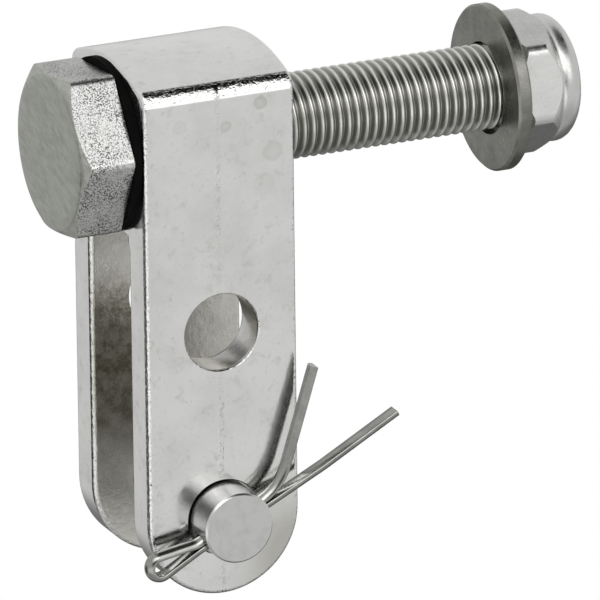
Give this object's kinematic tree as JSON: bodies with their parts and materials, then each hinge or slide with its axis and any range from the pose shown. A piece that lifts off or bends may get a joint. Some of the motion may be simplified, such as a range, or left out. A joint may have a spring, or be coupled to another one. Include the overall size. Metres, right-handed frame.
{
  "type": "clevis rod end",
  "caption": "Cast two-ear clevis with a cross bolt, lock nut and washers at its closed end, and a headed pin held by a split cotter.",
  "frame": {"origin": "centre of the upper cross hole, midway between the ears' outer faces", "axes": "+X along the cross bolt from its head to its nut, +Y through the cross hole from the cotter's side to the clevis pin's head, +Z from the ears to the closed end"},
  "size_m": [0.061, 0.0266, 0.0598],
  "materials": {
    "plated_casting": "satin nickel plate on a cast body, bright along its edges",
    "stainless_bolt": "dull stainless steel, coarse scratches on the end of the head",
    "black_nylon": "matte black",
    "stainless_washer": "tumbled stainless steel",
    "polished_nut": "smooth stainless steel",
    "white_nylon": "natural nylon",
    "turned_pin": "turned stainless steel with fine rings on its end",
    "cotter_wire": "drawn stainless wire, half-round"
  },
  "bodies": {
    "clevis": {"clevis_body": "plated_casting"},
    "bolt": {"hex_bolt": "stainless_bolt", "head_washer": "black_nylon"},
    "washer": {"flat_washer": "stainless_washer"},
    "nut": {"lock_nut": "polished_nut", "nut_insert": "white_nylon"},
    "pin": {"clevis_pin": "turned_pin", "cotter_pin": "cotter_wire"}
  },
  "joints": [
    {"name": "bolt_swivel", "type": "hinge", "parent": "clevis", "child": "bolt", "pos_m": [0, 0, 0.0199], "axis": [1, 0, 0], "continuous": true},
    {"name": "nut_travel", "type": "slide", "parent": "bolt", "child": "washer", "axis": [1, 0, 0], "range_m": [-0.0268, 0.0032]},
    {"name": "nut_turn", "type": "hinge", "parent": "washer", "child": "nut", "pos_m": [0.04, 0, 0.0199], "axis": [1, 0, 0], "range_deg": [-9100, 1080]},
    {"name": "pin_spin", "type": "hinge", "parent": "clevis", "child": "pin", "pos_m": [0, 0, -0.0212], "axis": [0, 1, 0], "continuous": true}
  ],
  "couplings": [
    {"joint": "nut_travel", "follows": "nut_turn", "m_per_rad": 0.00016843}
  ]
}
